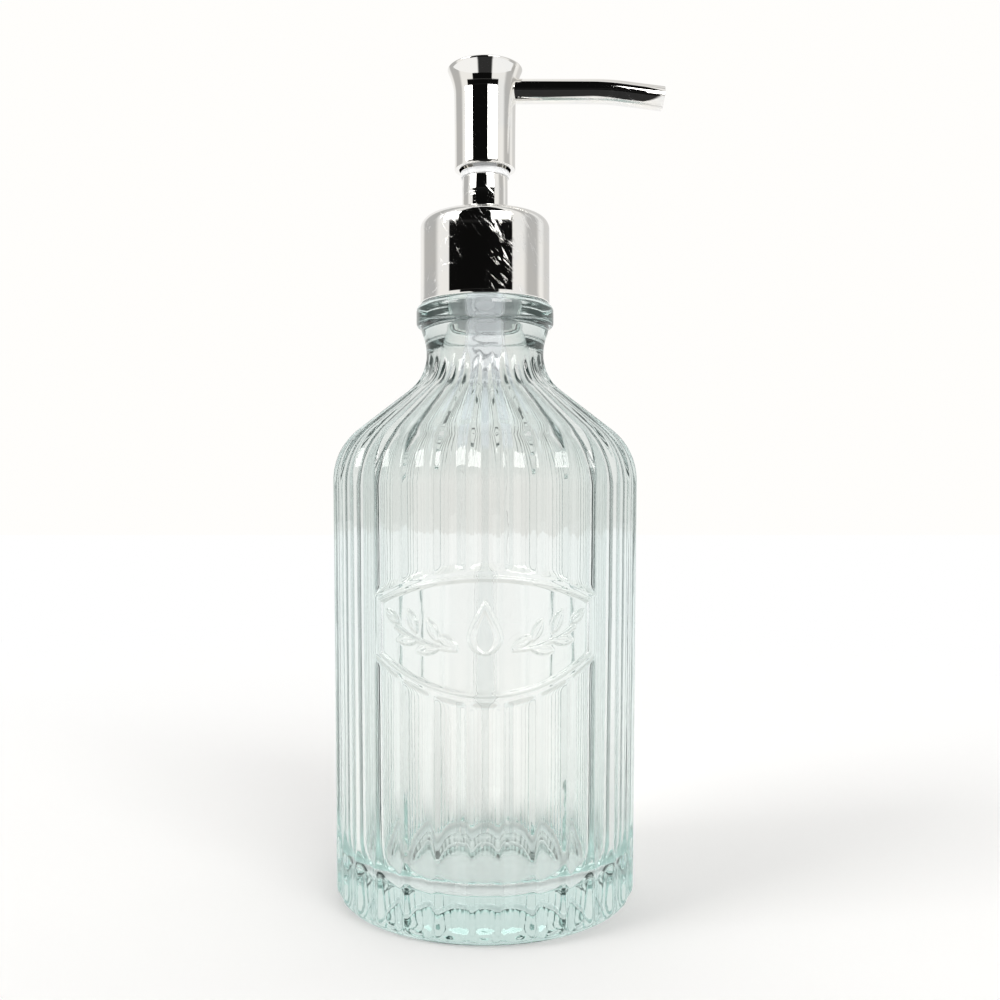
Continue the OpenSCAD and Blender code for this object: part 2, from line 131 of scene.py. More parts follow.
# value that runs softly from one level to another as its input goes from start to end
def fadeOut(nodes, links, distance, start, end, low, high):
    span = nodes.new("ShaderNodeMapRange")
    span.interpolation_type = "SMOOTHSTEP"
    for socket, value in (("From Min", start), ("From Max", end), ("To Min", low), ("To Max", high)):
        span.inputs[socket].default_value = value
    links.new(distance, span.inputs["Value"])
    return span.outputs["Result"]


# value ranged from one span to another, straight
def rangeNode(nodes, links, value, fromMin, fromMax, toMin=0.0, toMax=1.0):
    span = nodes.new("ShaderNodeMapRange")
    for socket, level in (("From Min", fromMin), ("From Max", fromMax), ("To Min", toMin), ("To Max", toMax)):
        span.inputs[socket].default_value = level
    links.new(value, span.inputs["Value"])
    return span.outputs["Result"]


# colour between two others by a factor
def mixColour(nodes, links, factor, first, second):
    mix = nodes.new("ShaderNodeMix")
    mix.data_type = "RGBA"
    mix.inputs["A"].default_value = (*first, 1)
    mix.inputs["B"].default_value = (*second, 1)
    links.new(factor, mix.inputs["Factor"])
    return mix.outputs["Result"]


# bump from a height, joined to the shader's normal
def addBump(nodes, links, shader, height, strength, depth):
    bump = nodes.new("ShaderNodeBump")
    bump.inputs["Strength"].default_value = strength
    bump.inputs["Distance"].default_value = depth
    links.new(height, bump.inputs["Height"])
    links.new(bump.outputs["Normal"], shader.inputs["Normal"])


# one noise texture on object coordinates, stretched and ranged
def noiseMask(nodes, links, scale, detail, low, high, stretch=(1, 1, 1)):
    where = nodes.new("ShaderNodeTexCoord")
    place = nodes.new("ShaderNodeMapping")
    place.inputs["Scale"].default_value = stretch
    cloud = nodes.new("ShaderNodeTexNoise")
    cloud.inputs["Scale"].default_value = scale
    cloud.inputs["Detail"].default_value = detail
    span = nodes.new("ShaderNodeMapRange")
    span.inputs["To Min"].default_value = low
    span.inputs["To Max"].default_value = high
    links.new(where.outputs["Object"], place.inputs["Vector"])
    links.new(place.outputs["Vector"], cloud.inputs["Vector"])
    links.new(cloud.outputs["Fac"], span.inputs["Value"])
    return span.outputs["Result"]


scratchLook = {
    "layers": [
        ((2.5, 3, 22), (0.4, 0.9, 0.0)),
        ((22, 2.5, 3), (0.8, -0.3, 1.2)),
        ((3, 20, 2.5), (-0.8, 0.6, 2.1)),
    ],
    "detail": 3, "bend": 0.3, "thinFrom": 0.61, "thinTo": 0.68,
    "cloudScale": 130, "cloudDetail": 4, "cloudFrom": 0.42, "cloudTo": 0.66,
}


# group that draws crossing handling scratches: each layer is (fineness along x, y and z, turn in radians)
def makeScratchGroup():
    look = scratchLook
    group = bpy.data.node_groups.new("handlingScratches", "ShaderNodeTree")
    for name, side in (("Scale", "INPUT"), ("Amount", "INPUT"), ("Scratch", "OUTPUT"), ("Cloud", "OUTPUT")):
        group.interface.new_socket(name=name, in_out=side, socket_type="NodeSocketFloat")
    nodes, links = group.nodes, group.links
    given = nodes.new("NodeGroupInput")
    out = nodes.new("NodeGroupOutput")
    where = nodes.new("ShaderNodeTexCoord")
    total = None
    for fineness, turn in look["layers"]:
        place = nodes.new("ShaderNodeMapping")
        place.vector_type = "TEXTURE"
        place.inputs["Rotation"].default_value = turn
        place.inputs["Scale"].default_value = [1 / share for share in fineness]
        lines = nodes.new("ShaderNodeTexNoise")
        lines.inputs["Detail"].default_value = look["detail"]
        lines.inputs["Distortion"].default_value = look["bend"]
        links.new(where.outputs["Object"], place.inputs["Vector"])
        links.new(place.outputs["Vector"], lines.inputs["Vector"])
        links.new(given.outputs["Scale"], lines.inputs["Scale"])
        thin = rangeNode(nodes, links, lines.outputs["Fac"], look["thinFrom"], look["thinTo"])
        total = thin if total is None else mathNode(nodes, links, "MAXIMUM", total, thin)
    cloud = nodes.new("ShaderNodeTexNoise")
    cloud.inputs["Scale"].default_value = look["cloudScale"]
    cloud.inputs["Detail"].default_value = look["cloudDetail"]
    links.new(where.outputs["Object"], cloud.inputs["Vector"])
    patch = rangeNode(nodes, links, cloud.outputs["Fac"], look["cloudFrom"], look["cloudTo"])
    worn = mathNode(nodes, links, "MULTIPLY", total, patch)
    links.new(mathNode(nodes, links, "MULTIPLY", worn, given.outputs["Amount"]), out.inputs["Scratch"])
    links.new(patch, out.inputs["Cloud"])
    return group


scratchGroup = makeScratchGroup()

chromeLook = {
    "colour": (0.9, 0.885, 0.855), "cool": (0.86, 0.86, 0.85), "shine": 0.03, "worn": 0.42,
    "scratchScale": 80, "bump": 0.2, "bumpDepth": 0.00003,
}


def makeChrome(name, scratched):
    look = chromeLook
    material, nodes, links, shader = newMaterial(name)
    setSockets(shader, Metallic=1.0)
    wear = nodes.new("ShaderNodeGroup")
    wear.node_tree = scratchGroup
    wear.inputs["Scale"].default_value = look["scratchScale"]
    wear.inputs["Amount"].default_value = scratched
    scratch = wear.outputs["Scratch"]
    links.new(rangeNode(nodes, links, scratch, 0, 1, look["shine"], look["worn"]), shader.inputs["Roughness"])
    tint = mixColour(nodes, links, wear.outputs["Cloud"], look["colour"], look["cool"])
    links.new(tint, shader.inputs["Base Color"])
    addBump(nodes, links, shader, scratch, look["bump"], look["bumpDepth"])
    return material


glassLook = {
    "ior": 1.5, "clear": (0.965, 0.968, 0.955), "mottle": 0.014, "mottleScale": 60,
    "edge": (0.5, 0.7, 0.69), "edgeBlend": 0.25, "grainScale": 900, "grain": 0.02,
    "rippleScale": 150, "rippleStretch": (1, 1, 0.3), "ripple": 0.12, "rippleDepth": 0.0004,
    # inner is the colour of the painted glow in the thick base; turns and the base heights place it
    "deep": (0.3, 0.8, 0.76), "density": 5.0, "inner": (0.25, 0.31, 0.29), "turns": 3.5,
    "baseTop": 0.011, "baseFade": 0.017, "aboveBase": 0.12,
}


def makeGlass():
    look = glassLook
    material, nodes, links, shader = newMaterial("aquaGlass")
    setSockets(shader, Transmission_Weight=1.0, IOR=look["ior"], Emission_Strength=1.0)
    paler = [c + look["mottle"] for c in look["clear"]]
    cloudy = noiseMask(nodes, links, look["mottleScale"], 2, 0, 1)
    mottle = mixColour(nodes, links, cloudy, look["clear"], paler)
    # the glass looks deeper where it is seen edge on
    edge = nodes.new("ShaderNodeLayerWeight")
    edge.inputs["Blend"].default_value = look["edgeBlend"]
    tint = nodes.new("ShaderNodeMix")
    tint.data_type = "RGBA"
    tint.inputs["B"].default_value = (*look["edge"], 1)
    links.new(mottle, tint.inputs["A"])
    links.new(edge.outputs["Facing"], tint.inputs["Factor"])
    links.new(tint.outputs["Result"], shader.inputs["Base Color"])
    links.new(noiseMask(nodes, links, look["grainScale"], 3, 0.0, look["grain"]), shader.inputs["Roughness"])
    ripple = noiseMask(nodes, links, look["rippleScale"], 3, 0, 1, look["rippleStretch"])
    addBump(nodes, links, shader, ripple, look["ripple"], look["rippleDepth"])
    # painted glow: emission standing in for light still going round inside the glass after its last counted turn,
    # most of it in the thick base
    ray = nodes.new("ShaderNodeLightPath")
    spent = mathNode(nodes, links, "GREATER_THAN", ray.outputs["Glossy Depth"], look["turns"])
    where = nodes.new("ShaderNodeTexCoord")
    split = nodes.new("ShaderNodeSeparateXYZ")
    links.new(where.outputs["Object"], split.inputs[0])
    base = rangeNode(nodes, links, split.outputs["Z"], look["baseTop"], look["baseFade"], 1, look["aboveBase"])
    share = mathNode(nodes, links, "MULTIPLY", spent, base)
    links.new(mixColour(nodes, links, share, (0, 0, 0), look["inner"]), shader.inputs["Emission Color"])
    depth = nodes.new("ShaderNodeVolumeAbsorption")
    depth.inputs["Color"].default_value = (*look["deep"], 1)
    depth.inputs["Density"].default_value = look["density"]
    links.new(depth.outputs["Volume"], nodes["Material Output"].inputs["Volume"])
    return material


plasticLook = {
    "mottleScale": 220, "darker": 0.94, "grainScale": 600, "smoother": 0.8, "rougher": 1.2,
    "peelScale": 1500, "peel": 0.08, "peelDepth": 0.00005,
}


# moulded plastic: faint mottling, a little orange peel and, where it is thin, light through it; lift adds a
# painted glow in the plastic's own colour
def makePlastic(name, colour, rough, through=0.0, ior=1.49, lift=0.0):
    look = plasticLook
    material, nodes, links, shader = newMaterial(name)
    setSockets(shader, Transmission_Weight=through, IOR=ior, Emission_Strength=lift)
    darker = [c * look["darker"] for c in colour]
    tint = mixColour(nodes, links, noiseMask(nodes, links, look["mottleScale"], 3, 0, 1), colour, darker)
    links.new(tint, shader.inputs["Base Color"])
    if lift:  # painted glow: the piece emits its own colour, standing in for the light that reaches it through the glass
        links.new(tint, shader.inputs["Emission Color"])
    grain = noiseMask(nodes, links, look["grainScale"], 3, rough * look["smoother"], rough * look["rougher"])
    links.new(grain, shader.inputs["Roughness"])
    peel = noiseMask(nodes, links, look["peelScale"], 2, 0, 1)
    addBump(nodes, links, shader, peel, look["peel"], look["peelDepth"])
    return material


steelLook = {
    "dark": (0.56, 0.56, 0.57), "light": (0.68, 0.68, 0.69), "tintScale": 700,
    "grainScale": 900, "smoother": 0.7, "rougher": 1.4,
}


def makeSteel(name, rough):
    look = steelLook
    material, nodes, links, shader = newMaterial(name)
    setSockets(shader, Metallic=1.0)
    cloudy = noiseMask(nodes, links, look["tintScale"], 3, 0, 1)
    tint = mixColour(nodes, links, cloudy, look["dark"], look["light"])
    links.new(tint, shader.inputs["Base Color"])
    grain = noiseMask(nodes, links, look["grainScale"], 4, rough * look["smoother"], rough * look["rougher"])
    links.new(grain, shader.inputs["Roughness"])
    return material


chrome = makeChrome("brightChrome", 0.35)
wornChrome = makeChrome("handledChrome", 1.0)
glass = makeGlass()
# lift gives these two plastics a painted glow standing in for light through the glass
whitePlastic = makePlastic("whitePlastic", (0.86, 0.87, 0.88), 0.3, lift=0.12)
milkyPlastic = makePlastic("milkyPlastic", (0.97, 0.98, 1.0), 0.22, through=0.9, ior=1.06, lift=0.07)
tubePlastic = makePlastic("tubePlastic", (0.98, 0.99, 0.99), 0.12, through=1.0, ior=1.08)
sealPlastic = makePlastic("sealPlastic", (0.84, 0.82, 0.76), 0.5)
gasketFoam = makePlastic("gasketFoam", (0.82, 0.82, 0.8), 0.7)
springSteel = makeSteel("springSteel", 0.25)
ballSteel = makeSteel("ballSteel", 0.1)
print("materials made")


bottleSize = {
    "shoulderR": 37.9, "heelR": 36.9, "shoulderZ": 103.0, "shoulderRound": 16.0, "slopeDeg": 52.0,
    "neckR": 14.7, "neckRound": 12.0, "heelRound": 4.2, "neckRise": 6.4, "beadR": 17.2,
    "beadH": 5.6, "beadEdge": 1.3, "beadSeat": 0.9, "finishR": 12.7, "lipRound": 0.8,
    "mouthR": 9.3, "wall": 2.8, "floorZ": 9.0, "innerHeel": 9.0, "standR": 26.0, "pushUp": 2.2,
    "flutes": 30, "fluteDepth": 1.1, "fluteEndZ": 0.6, "fluteRise": 3.6, "ribSoft": 0.16,
    "fluteFade": 9.0, "fluteShape": 2.6, "columns": 360,
    "threadPitch": 4.23, "threadH": 1.0, "threadTurns": 1.1, "threadTop": 4.2, "threadSoft": 0.45,
    "threadEnds": 25.0, "innerRound": 14.0, "neckExtra": 0.4, "floorDome": 0.5,
    "uneven": 0.006, "unevenFine": 0.002,
}
plaqueSize = {
    "width": 51.6, "midZ": 69.9, "sideH": 12.4, "topRise": 5.8, "drop": 8.6, "border": 2.2, "raise": 0.5,
    "lineW": 0.9, "soft": 0.5, "lineShare": 0.75, "fieldShare": 0.1, "finer": 1.2,
}

slope = math.radians(bottleSize["slopeDeg"])
turnIn = 1 - math.cos(slope)
roundSum = bottleSize["shoulderRound"] + bottleSize["neckRound"]
coneL = (bottleSize["shoulderR"] - bottleSize["neckR"] - roundSum * turnIn) / math.sin(slope)
coneLowZ = bottleSize["shoulderZ"] + bottleSize["shoulderRound"] * math.sin(slope)
coneLowR = bottleSize["shoulderR"] - bottleSize["shoulderRound"] * turnIn
coneHighZ = coneLowZ + coneL * math.cos(slope)
neckZ = coneHighZ + bottleSize["neckRound"] * math.sin(slope)
beadZ = neckZ + bottleSize["neckRise"]
beadTop = beadZ + bottleSize["beadH"]
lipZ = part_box("bottle")[1].z / mm
plaqueLow = plaqueSize["midZ"] - plaqueSize["sideH"] / 2 - plaqueSize["drop"]
plaqueHigh = plaqueSize["midZ"] + plaqueSize["sideH"] / 2 + plaqueSize["topRise"]


def arcDrop(radius, d):
    return radius - math.sqrt(max(0, radius * radius - d * d))


# radius over the ribs at a height
def ribR(z):
    b = bottleSize
    if z < b["heelRound"]:
        return b["heelR"] - arcDrop(b["heelRound"], b["heelRound"] - z)
    if z < b["shoulderZ"]:
        share = (z - b["heelRound"]) / (b["shoulderZ"] - b["heelRound"])
        return b["heelR"] + (b["shoulderR"] - b["heelR"]) * share
    if z < coneLowZ:
        return b["shoulderR"] - arcDrop(b["shoulderRound"], z - b["shoulderZ"])
    if z < coneHighZ:
        return coneLowR - (z - coneLowZ) * math.tan(slope)
    if z < neckZ:
        return b["neckR"] + arcDrop(b["neckRound"], neckZ - z)
    if z < beadZ:
        seat = b["beadR"] - b["beadSeat"]
        return b["neckR"] + (seat - b["neckR"]) * ((z - neckZ) / b["neckRise"]) ** 2
    if z < beadTop:
        return b["beadR"] - arcDrop(b["beadEdge"], max(0, b["beadEdge"] - min(z - beadZ, beadTop - z)))
    return b["finishR"] - arcDrop(b["lipRound"], max(0, b["lipRound"] - (lipZ - z)))


# place on the plaque: distance round the bottle and above its middle, and how far inside its outline, in mm
def plaquePlace(angle, z):
    s = ribR(z) * ((angle + math.pi / 2 + math.pi) % math.tau - math.pi)
    share = s / (plaqueSize["width"] / 2)
    top = plaqueHigh - plaqueSize["topRise"] * share * share
    low = plaqueLow + plaqueSize["drop"] * share * share
    return s, z - plaqueSize["midZ"], min(plaqueSize["width"] / 2 - abs(s), top - z, z - low)


# depth share across a flute: 0 on the rounded rib, 1 along the hollow floor
def fluteAt(angle):
    pitch = math.tau / bottleSize["flutes"]
    u = abs(((angle + math.pi / 2 + pitch / 2) % pitch) / pitch - 0.5) * 2
    soft = bottleSize["ribSoft"]
    fromRib = math.sqrt((1 - u) ** 2 + soft * soft) - soft
    return 1 - clamp(1 - fromRib * (1 + soft)) ** bottleSize["fluteShape"]


# depth share up the bottle: it rises from the heel and dies out below the neck
def fluteRun(z):
    b = bottleSize
    fade = smooth((z - neckZ + b["fluteFade"]) / b["fluteFade"])
    return smooth((z - b["fluteEndZ"]) / b["fluteRise"]) * (1 - fade)


# a drop between two leafy sprigs
# each leaf is (place round, place up, half length, half width, turn in degrees)
leaves = [(8.2, -2.6, 3.1, 1.25, 28), (11.6, -0.2, 3.1, 1.3, 62), (12.6, -4.4, 3.1, 1.25, -8),
          (16.4, 1.6, 3.1, 1.3, 66), (17.6, -2.6, 3.0, 1.25, -2), (21.6, 2.4, 2.7, 1.2, 38)]
stem = {
    "from": 6.0, "to": 21.0, "z": -4.3, "rise": 0.021, "half": 0.42, "soft": 0.35, "lift": 0.3, "height": 0.8,
}
leafVein = {"depth": 0.35, "half": 0.3}
dropShape = {
    "z": -1.4, "r": 3.9, "tip": 8.0, "stroke": 1.3, "soft": 0.5, "bend": 1.25, "point": 0.9, "sunk": 0.75,
}
leafLines = [(s, h, length, width, math.cos(math.radians(turn)), math.sin(math.radians(turn)))
             for s, h, length, width, turn in leaves]


# half width of the drop at a height over its round part's middle
def dropHalf(up):
    if up <= 0:
        return math.sqrt(max(0, dropShape["r"] ** 2 - up * up))
    return dropShape["r"] * max(0, 1 - (up / dropShape["tip"]) ** dropShape["bend"]) ** dropShape["point"]


def sprigRelief(s, h):
    soft = dropShape["soft"]
    side = abs(s)
    best = 0.0
    if stem["from"] < side < stem["to"]:
        line = stem["z"] + stem["rise"] * (side - stem["from"]) ** 2
        best = stem["height"] * smooth((stem["half"] - abs(h - line)) / stem["soft"] + stem["lift"])
    for cs, ch, length, width, cosT, sinT in leafLines:
        along = (side - cs) * cosT + (h - ch) * sinT
        across = (h - ch) * cosT - (side - cs) * sinT
        if abs(along) < length:
            half = width * (1 - (along / length) ** 2)
            dome = smooth((half - abs(across)) / soft)
            vein = leafVein["depth"] * smooth(1 - abs(across) / leafVein["half"])
            best = max(best, dome * (1 - vein))
    up = h - dropShape["z"]
    edge = dropHalf(up) - side
    if edge > 0:
        inner = dropHalf(up) - dropShape["stroke"] - side
        best = max(best, smooth(edge / soft) * (1 - dropShape["sunk"] * smooth(inner / soft)))
    return best


# relief of the plaque over the ribs: a frame, a sunk field and the ornament
def plaqueRelief(angle, z):
    p = plaqueSize
    s, h, inside = plaquePlace(angle, z)
    field = smooth((inside - p["lineW"]) / p["soft"])
    frameLine = p["lineShare"] * smooth(inside / p["soft"]) * (1 - field)
    ornament = p["fieldShare"] + (1 - p["fieldShare"]) * sprigRelief(s, h)
    return p["raise"] * (frameLine + field * ornament)


# height of the one-start thread over the finish
def threadRidge(angle, z):
    b = bottleSize
    start = lipZ - b["threadTop"] - b["threadTurns"] * b["threadPitch"]
    turnShare = (angle % math.tau) / math.tau
    lap = round((z - start) / b["threadPitch"] - turnShare)
    turn = (turnShare + lap) * 360
    ends = smooth(turn / b["threadEnds"]) * smooth((360 * b["threadTurns"] - turn) / b["threadEnds"])
    off = abs(z - start - b["threadPitch"] * turn / 360)
    return b["threadH"] * clamp((1 - off) / b["threadSoft"]) * ends


# radius of the outer wall with its flutes, plaque and thread
def outerR(angle, z):
    p = plaqueSize
    inside = plaquePlace(angle, z)[2]
    outside = smooth((-inside - p["lineW"]) / (p["border"] - p["lineW"]))
    r = ribR(z) - bottleSize["fluteDepth"] * fluteAt(angle) * fluteRun(z) * outside
    if inside > 0:
        r += plaqueRelief(angle, z)
    if z > beadTop:
        r += threadRidge(angle, z)
    return r


# heights of the rows of the outer wall
def outerRows():
    b = bottleSize
    rows = steps(0, b["heelRound"], 8) + steps(b["heelRound"], b["heelRound"] + 3, 6)
    rows += steps(b["heelRound"] + 3, plaqueLow - 3, 4) + steps(plaqueLow - 3, plaqueHigh + 3, 46)
    rows += steps(plaqueHigh + 3, b["shoulderZ"], 2) + steps(b["shoulderZ"], coneLowZ, 14)
    rows += steps(coneLowZ, coneHighZ, 5) + steps(coneHighZ, neckZ, 12) + steps(neckZ, beadZ, 6)
    edge = b["beadEdge"]
    rows += [beadZ + edge * (1 - math.cos(math.radians(a))) for a in (1, 30, 50, 70)]
    rows += [beadZ + edge, beadTop - edge]
    rows += [beadTop - edge * (1 - math.cos(math.radians(a))) for a in (70, 50, 30, 1)]
    rows += [beadTop + 0.02] + steps(beadTop + 2.5, lipZ - 2.6, 16)
    rows += [lipZ - b["lipRound"] * (1 - math.cos(math.radians(a))) for a in (90, 60, 35, 10)]
    return rows


# inner wall from the mouth down to the floor
def innerWall():
    b = bottleSize
    shift = b["wall"] + b["fluteDepth"]
    innerR, shoulderR = b["heelR"] - shift, b["shoulderR"] - shift
    neckR, bend = b["neckR"] - b["wall"] - b["neckExtra"], b["innerRound"]
    wall = [(b["mouthR"] + 0.6, lipZ), (b["mouthR"] + 0.15, lipZ - 0.2), (b["mouthR"], lipZ - 0.7)]
    wall += [(b["mouthR"], z) for z in reversed(steps(beadTop, lipZ - 3, 4))]
    for i in range(9):
        t = slope * i / 8
        wall.append((neckR + bend * (1 - math.cos(t)), neckZ + 1 - bend * math.sin(t)))
    for i in range(13):
        t = slope * (1 - i / 12)
        wall.append((shoulderR - bend * (1 - math.cos(t)), b["shoulderZ"] - 1.5 + bend * math.sin(t)))
    heel = b["innerHeel"]
    low = b["floorZ"] + heel
    wall += [(innerR + (shoulderR - innerR) * (z - low) / (b["shoulderZ"] - low), z)
             for z in reversed(steps(low + 3, b["shoulderZ"] - 6, 9))]
    for i in range(11):
        t = math.radians(90 - 9 * i)
        wall.append((innerR - heel * (1 - math.sin(t)), b["floorZ"] + heel * (1 - math.cos(t))))
    flatR = innerR - heel
    wall += [(flatR * share, b["floorZ"] + b["floorDome"] * (1 - share * share))
             for share in (0.8, 0.55, 0.3, 0.1, 0)]
    return wall


def makeBottle():
    b = bottleSize
    rim = ribR(0)
    foot = [(0, b["pushUp"]), (8, b["pushUp"] - 0.15), (16, b["pushUp"] - 0.9), (b["standR"] - 4, 0.5),
            (b["standR"] - 1.5, 0.06), (b["standR"], 0), ((b["standR"] + rim) / 2, 0)]
    outside = [(ribR(z), z) for z in outerRows()]
    top = [(b["finishR"] - b["lipRound"], lipZ), (b["mouthR"] + 1.6, lipZ)]
    bm = spunSolid(foot + outside + top + innerWall(), b["columns"], closed=False)
    # finer faces where the plaque's relief is
    fine = []
    for face in bm.faces:
        c = face.calc_center_median() / mm
        inside = plaquePlace(math.atan2(c.y, c.x), c.z)[2]
        if inside > -plaqueSize["finer"] and math.hypot(c.x, c.y) > ribR(c.z) - 1:
            fine.append(face)
    edges = list({edge for face in fine for edge in face.edges})
    bmesh.ops.subdivide_edges(bm, edges=edges, cuts=2, use_grid_fill=True)
    for vert in bm.verts:
        x, y, z = vert.co / mm
        r = math.hypot(x, y)
        if r < 1e-3:
            continue
        angle = math.atan2(y, x)
        if r > ribR(clamp(z, 0, lipZ)) - 0.6 and 0 < z < lipZ - 0.01:
            grow = outerR(angle, z) / r
        elif z > b["floorZ"] + 4 and z < beadZ:
            # the blown inner wall is never quite even
            broad = noise.noise(Vector((x, y, z * 0.35)) * 0.05)
            fineWave = noise.noise(Vector((x, y, z * 0.3)) * 0.2)
            grow = 1 + b["uneven"] * broad + b["unevenFine"] * fineWave
        else:
            continue
        vert.co.x *= grow
        vert.co.y *= grow
    bmesh.ops.recalc_face_normals(bm, faces=bm.faces)
    bottle = meshObject(bm, "flutedBottle", glass)
    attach(bottle, "bottle")
    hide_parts("bottle")
    return bottle


makeBottle()
print("bottle made")


collarSize = {"round": 3.0, "wall": 0.7, "rimSoft": 0.18, "steps": 180}


def makeCollar():
    c = collarSize
    low, high = (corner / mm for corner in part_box("collar_shell"))
    outR, hole = high.x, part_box("guide_sleeve")[1].x / mm + 0.3
    soft = c["rimSoft"]
    points = [(outR - c["wall"], low.z + soft)]
    points += arcPoints(outR - c["wall"] / 2, low.z + soft, c["wall"] / 2, 180, 360, 6)[1:]
    points += [(outR, z) for z in steps(low.z + 1, high.z - c["round"], 4)]
    points += arcPoints(outR - c["round"], high.z - c["round"], c["round"], 0, 90, 14)
    points += [(r, high.z) for r in (outR - c["round"] - 2, hole + 2)]
    points += arcPoints(hole + 0.3, high.z - 0.3, 0.3, 90, 180, 4)
    points += [(hole, high.z - c["wall"]), (hole + 3, high.z - c["wall"])]
    points += arcPoints(outR - c["round"], high.z - c["round"], c["round"] - c["wall"], 90, 0, 8)
    return spunSolid(points, c["steps"])


sleeveSize = {"wall": 0.6, "round": 0.25, "steps": 128}


def makeSleeve():
    low, high = (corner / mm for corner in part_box("guide_sleeve"))
    r, wall, soft = high.x, sleeveSize["wall"], sleeveSize["round"]
    points = [(r - wall, low.z), (r, low.z)] + [(r, z) for z in steps(low.z + 1, high.z - 0.3, 3)]
    points += arcPoints(r - soft, high.z - soft, soft, 0, 90, 4) + [(r - wall, high.z)]
    return spunSolid(points, sleeveSize["steps"])


headSize = {
    "bore": 6.45, "wall": 1.15, "swell": 0.3, "flare": 2.0, "flareStart": 0.72, "dome": 0.5, "edge": 0.45,
    "steps": 144,
}


# outer radius at a share of the head's height
def headR(t):
    h = headSize
    flare = h["flare"] * (max(0, t - h["flareStart"]) / (1 - h["flareStart"])) ** 2
    return h["bore"] + h["wall"] + h["swell"] * t * t + flare


def makeHead():
    h = headSize
    low, high = (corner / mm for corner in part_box("head_shell"))
    tall = high.z - low.z
    edgeZ = high.z - h["dome"] - h["edge"]
    topR = headR((edgeZ - low.z) / tall)
    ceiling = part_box("actuator_core")[1].z / mm
    points = [(0, ceiling), (h["bore"], ceiling), (h["bore"], low.z + 0.25)]
    points += arcPoints(h["bore"] + 0.2, low.z + 0.2, 0.2, 180, 270, 3)
    points += arcPoints(h["bore"] + h["wall"] - 0.3, low.z + 0.3, 0.3, 270, 350, 4)
    points += [(headR((z - low.z) / tall), z) for z in steps(low.z + 0.6, edgeZ, 34)]
    points += arcPoints(topR - h["edge"], edgeZ, h["edge"], 0, 80, 7)
    points += [(topR * 0.82, high.z - 0.26), (topR * 0.5, high.z - 0.1), (0, high.z)]
    return spunSolid(points, h["steps"], closed=False)


def addPiece(bm, name, material, body, node):
    piece = meshObject(bm, name, material)
    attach(piece, body)
    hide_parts(node)
    return piece


addPiece(makeCollar(), "collarShell", wornChrome, "collar", "collar_shell")
addPiece(makeSleeve(), "guideSleeve", wornChrome, "pump_body", "guide_sleeve")
addPiece(makeHead(), "pressHead", chrome, "head", "head_shell")


spoutSize = {"reach": 44.8, "straight": 27.0, "bendR": 60.0, "droopDeg": 7.5, "wall": 0.6, "sides": 56}


def makeSpout():
    s = spoutSize
    low, high = (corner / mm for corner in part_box("spout_tube"))
    r, axisZ = high.y, high.z - high.y
    bm = bmesh.new()
    ring = bmesh.ops.create_circle(bm, segments=s["sides"], radius=r * mm)["verts"]
    turn = Matrix.Rotation(math.pi / 2, 4, "Y")
    bmesh.ops.transform(bm, matrix=Matrix.Translation((low.x * mm, 0, axisZ * mm)) @ turn, verts=ring)
    front = bm.edges[:]

    def pull(edges, along):
        made = bmesh.ops.extrude_edge_only(bm, edges=edges)["geom"]
        verts = [v for v in made if isinstance(v, bmesh.types.BMVert)]
        bmesh.ops.translate(bm, vec=along, verts=verts)
        return [e for e in made if isinstance(e, bmesh.types.BMEdge) and all(v in verts for v in e.verts)]

    for part in range(3):
        front = pull(front, Vector(((s["straight"] - low.x) * mm / 3, 0, 0)))
    droop = math.radians(s["droopDeg"])
    spun = bmesh.ops.spin(bm, geom=front, cent=(s["straight"] * mm, 0, (axisZ - s["bendR"]) * mm),
                          axis=(0, 1, 0), angle=droop, steps=8)["geom_last"]
    front = [e for e in spun if isinstance(e, bmesh.types.BMEdge)]
    bendX = s["bendR"] * math.sin(droop)
    tip = (s["reach"] - s["straight"] - bendX) / math.cos(droop)
    for part in range(2):
        front = pull(front, Vector((math.cos(droop), 0, -math.sin(droop))) * tip * mm / 2)
    bmesh.ops.recalc_face_normals(bm, faces=bm.faces)
    bmesh.ops.solidify(bm, geom=bm.faces[:], thickness=s["wall"] * mm)
    bmesh.ops.recalc_face_normals(bm, faces=bm.faces)
    rims = [e for e in bm.edges if len(e.link_faces) == 2 and e.calc_face_angle() > 1.2]
    bmesh.ops.bevel(bm, geom=rims, offset=0.12 * mm, offset_type="OFFSET", segments=2, profile=0.5,
                    affect="EDGES", material=-1)
    return bm


addPiece(makeSpout(), "spoutTube", chrome, "head", "spout_tube")
print("chrome made")


springSize = {"wire": 0.7, "coils": 7, "meanD": 6.2, "steps": 36, "sides": 14, "stroke": 10.0, "gap": 0.01}


# compression spring: one closed coil at each end, open coils between
def makeSpring():
    s = springSize
    low, high = (corner.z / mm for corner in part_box("return_spring"))
    wireR, reach = s["wire"] / 2, s["meanD"] / 2
    openCoils = s["coils"] - 2
    openRise = (high - low - 3 * s["wire"] - 2 * s["gap"]) / openCoils
    bm = bmesh.new()
    front = bmesh.ops.create_circle(bm, cap_ends=True, segments=s["sides"], radius=wireR * mm)["verts"]
    turn = Matrix.Rotation(math.pi / 2, 4, "X")
    start = Matrix.Translation((reach * mm, 0, (low + wireR + s["gap"]) * mm))
    bmesh.ops.transform(bm, matrix=start @ turn, verts=front)
    geom = bm.faces[:]
    for turns, rise in ((1, s["wire"]), (openCoils, openRise), (1, s["wire"])):
        count = turns * s["steps"]
        lift = (0, 0, rise * turns / count * mm)
        geom = bmesh.ops.spin(bm, geom=geom, cent=(0, 0, 0), axis=(0, 0, 1), dvec=lift,
                              angle=math.tau * turns, steps=count)["geom_last"]
        geom = [part for part in geom if isinstance(part, bmesh.types.BMFace)]
    bmesh.ops.recalc_face_normals(bm, faces=bm.faces)
    spring = addPiece(bm, "returnSpring", springSteel, "pump_body", "return_spring")
    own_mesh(spring)


makeSpring()
print("spring built")

